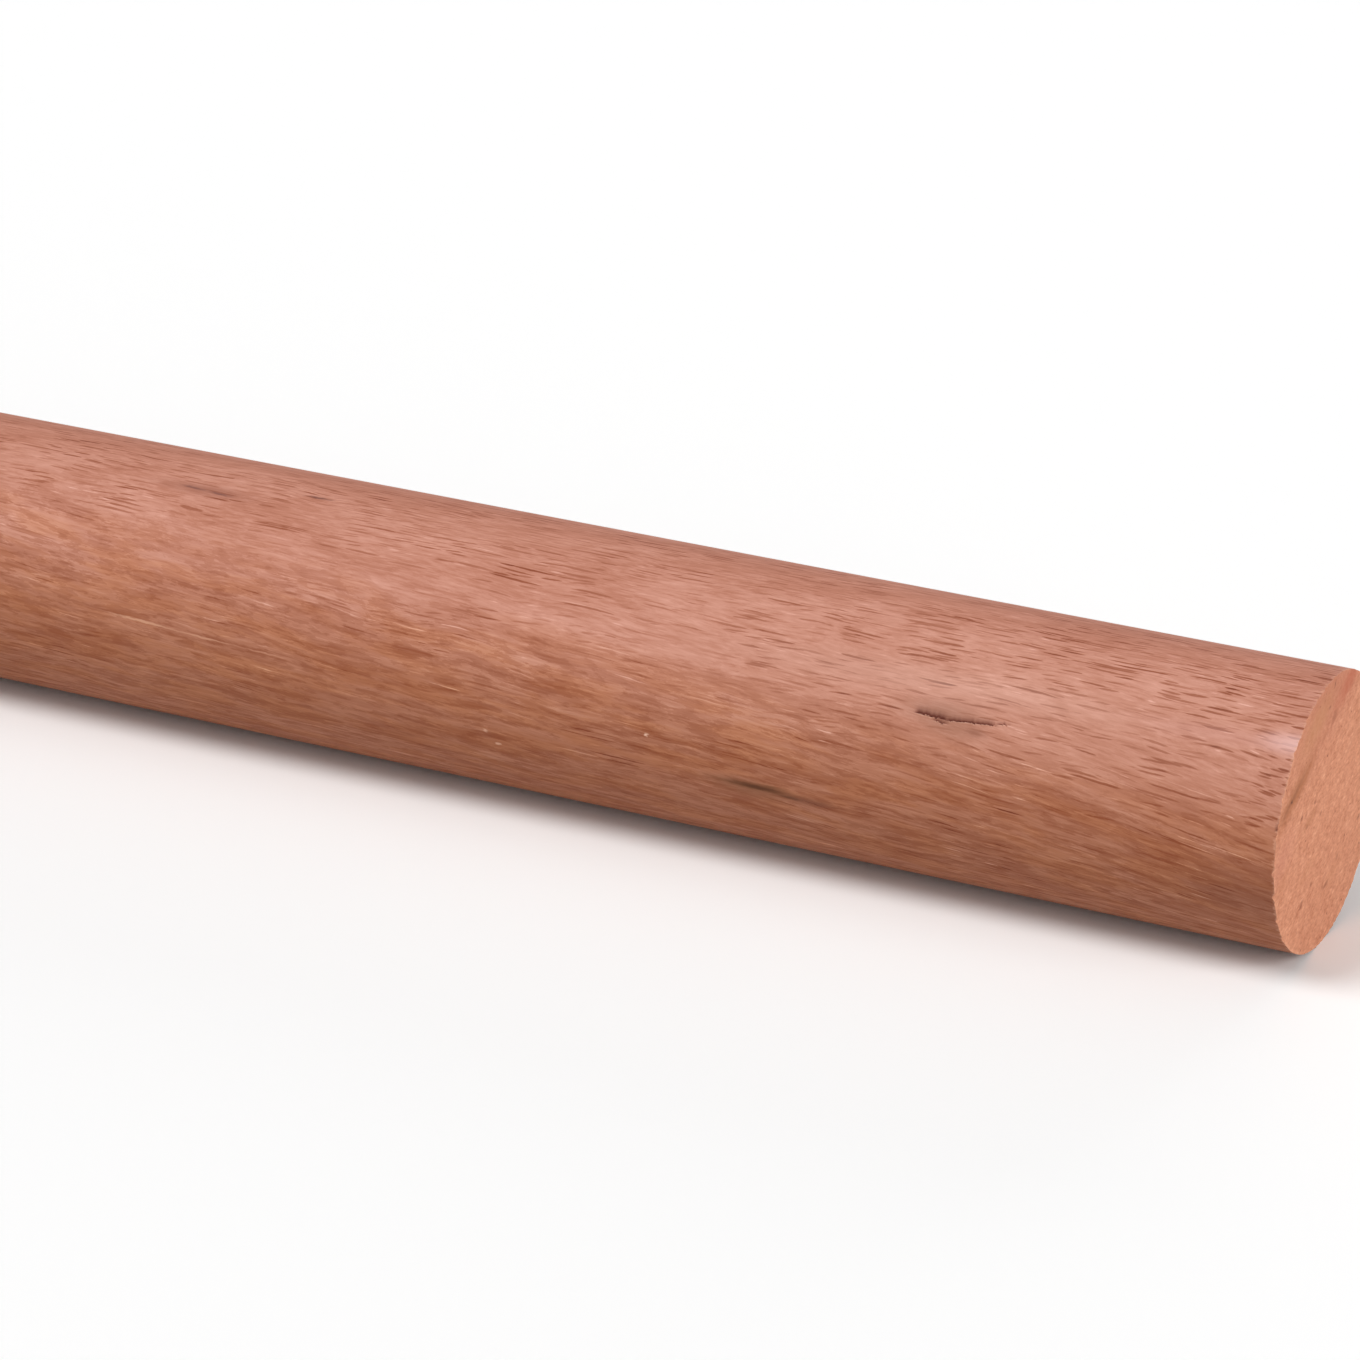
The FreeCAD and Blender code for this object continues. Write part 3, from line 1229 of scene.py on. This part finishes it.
@dataclass(frozen=True)
class Studio:
    """A plain white floor under soft light, and the camera.

    The floor's size and the camera's place from the right end are in metres, and lens and sensor in
    millimetres. Lights and greys count from 0 to 1, which is white.
    """

    floor_size: float = 80.0
    floor_white: float = 0.99
    floor_bounce: float = 0.66
    sky: float = 0.29
    key_light: float = 0.53
    key_from: Triple = (-0.41, -0.41, 0.81)
    key_spread: float = math.radians(28)
    fill_light: float = 0.75
    fill_from: Triple = (0.9, -0.3, 0.3)
    fill_spread: float = math.radians(60)
    back_light: float = 0.3
    back_from: Triple = (-0.1, 0.98, 0.17)
    back_spread: float = math.radians(40)
    camera_back: Triple = (0.25503, -0.72549, 0.37534)
    camera_azimuth: float = math.radians(26.843)
    camera_elevation: float = math.radians(23.442)
    lens: float = 143.795
    sensor: float = 36.0

    def lay_floor(self) -> bpy.types.Object:
        """Lay the floor, white to the eye and grey to the light it throws back.

        Returns:
            The floor.
        """
        bpy.ops.object.select_all(action="DESELECT")
        bpy.ops.mesh.primitive_plane_add(size=self.floor_size)
        floor = bpy.context.object
        floor.name = "studio_floor"
        made = bpy.data.materials.new("white_paper_floor")
        made.use_nodes = True
        bench = Bench(made.node_tree)
        white, bounce = self.floor_white, self.floor_bounce
        colour = bench.add(
            "Mix",
            {"Factor": self._seen(bench), "A": (bounce, bounce, bounce, 1), "B": (white, white, white, 1)},
            data_type="RGBA",
        )
        surface = bench.add("BsdfDiffuse", {"Color": colour})
        bench.add("OutputMaterial", {"Surface": surface})
        floor.data.materials.append(made)
        return floor

    def _seen(self, bench: Bench) -> Socket:
        """Tell rays that show the background, straight or mirrored, from rays that light things.

        Args:
            bench: The node tree of the floor or the sky.

        Returns:
            1 for a ray that shows the background, and 0 for one that lights things.
        """
        camera = bench.add("LightPath", out="Is Camera Ray")
        glossy = bench.add("LightPath", out="Is Glossy Ray")
        through = bench.add("LightPath", out="Is Transmission Ray")
        mirrored = bench.add("Math", {0: glossy, 1: through}, operation="MAXIMUM")
        return bench.add("Math", {0: camera, 1: mirrored}, operation="MAXIMUM")

    def light(self) -> None:
        """Set the even sky and the three soft lamps."""
        world = bpy.data.worlds.new("studio")
        world.use_nodes = True
        bench = Bench(world.node_tree)
        strength = bench.add("Mix", {"Factor": self._seen(bench), "A": self.sky, "B": 1.0}, data_type="FLOAT")
        sky = bench.add("Background", {"Color": (1, 1, 1, 1), "Strength": strength})
        bench.add("OutputWorld", {"Surface": sky})
        bpy.context.scene.world = world
        self._lamp("key", self.key_light, self.key_from, self.key_spread)
        self._lamp("fill", self.fill_light, self.fill_from, self.fill_spread)
        self._lamp("back", self.back_light, self.back_from, self.back_spread)

    def _lamp(self, name: str, level: float, towards: Triple, spread: float) -> None:
        """Hang one soft lamp that lights the whole length evenly.

        Args:
            name: The lamp's name.
            level: How bright it makes a white surface that faces it, where 1 is white.
            towards: The way to the lamp.
            spread: How wide the lamp looks, as an angle.
        """
        lamp = bpy.data.lights.new(name, "SUN")
        lamp.energy = level * math.pi
        lamp.angle = spread
        hung = bpy.data.objects.new(name, lamp)
        hung.rotation_euler = Vector(towards).to_track_quat("Z", "Y").to_euler()
        bpy.context.scene.collection.objects.link(hung)

    def place_camera(self, right_end: Vector) -> None:
        """Stand the camera where it looks along the rail at its right end.

        Args:
            right_end: The point on the floor under the middle of the right cut.
        """
        camera = bpy.data.cameras.new("camera")
        camera.sensor_width = self.sensor
        camera.lens = self.lens
        camera.clip_end = 2 * self.floor_size
        stand = bpy.data.objects.new("camera", camera)
        stand.location = right_end + Vector(self.camera_back)
        stand.rotation_euler = (math.pi / 2 - self.camera_elevation, 0, self.camera_azimuth)
        bpy.context.scene.collection.objects.link(stand)
        bpy.context.scene.camera = stand


def main() -> None:
    """Build the rail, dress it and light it."""
    logging.basicConfig(level=logging.INFO, format="%(name)s: %(message)s")
    mount = next(m for m in frame["record"]["mounts"] if m["name"] == "rail_round")
    radius, length = mount["dims"]["r_mm"], mount["dims"]["length_mm"]
    axis_height = mount["pos_m"][2]
    figure = GrainFigure(axis_height=axis_height)
    side = PlanedHardwood(figure, radius, length).material()
    sawn = SawnEndGrain(figure, radius, length).material()
    rail = HandrailTimber(radius * MM, length * MM, axis_height).build(side, sawn)
    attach(rail, BODY)
    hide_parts(NODE)
    LOG.info("%s: %d faces", rail.name, len(rail.data.polygons))
    studio = Studio()
    studio.lay_floor()
    studio.light()
    studio.place_camera(Vector((length * MM / 2, 0, 0)))
    bpy.context.scene.view_settings.view_transform = "Standard"


if __name__ == "__main__":
    main()
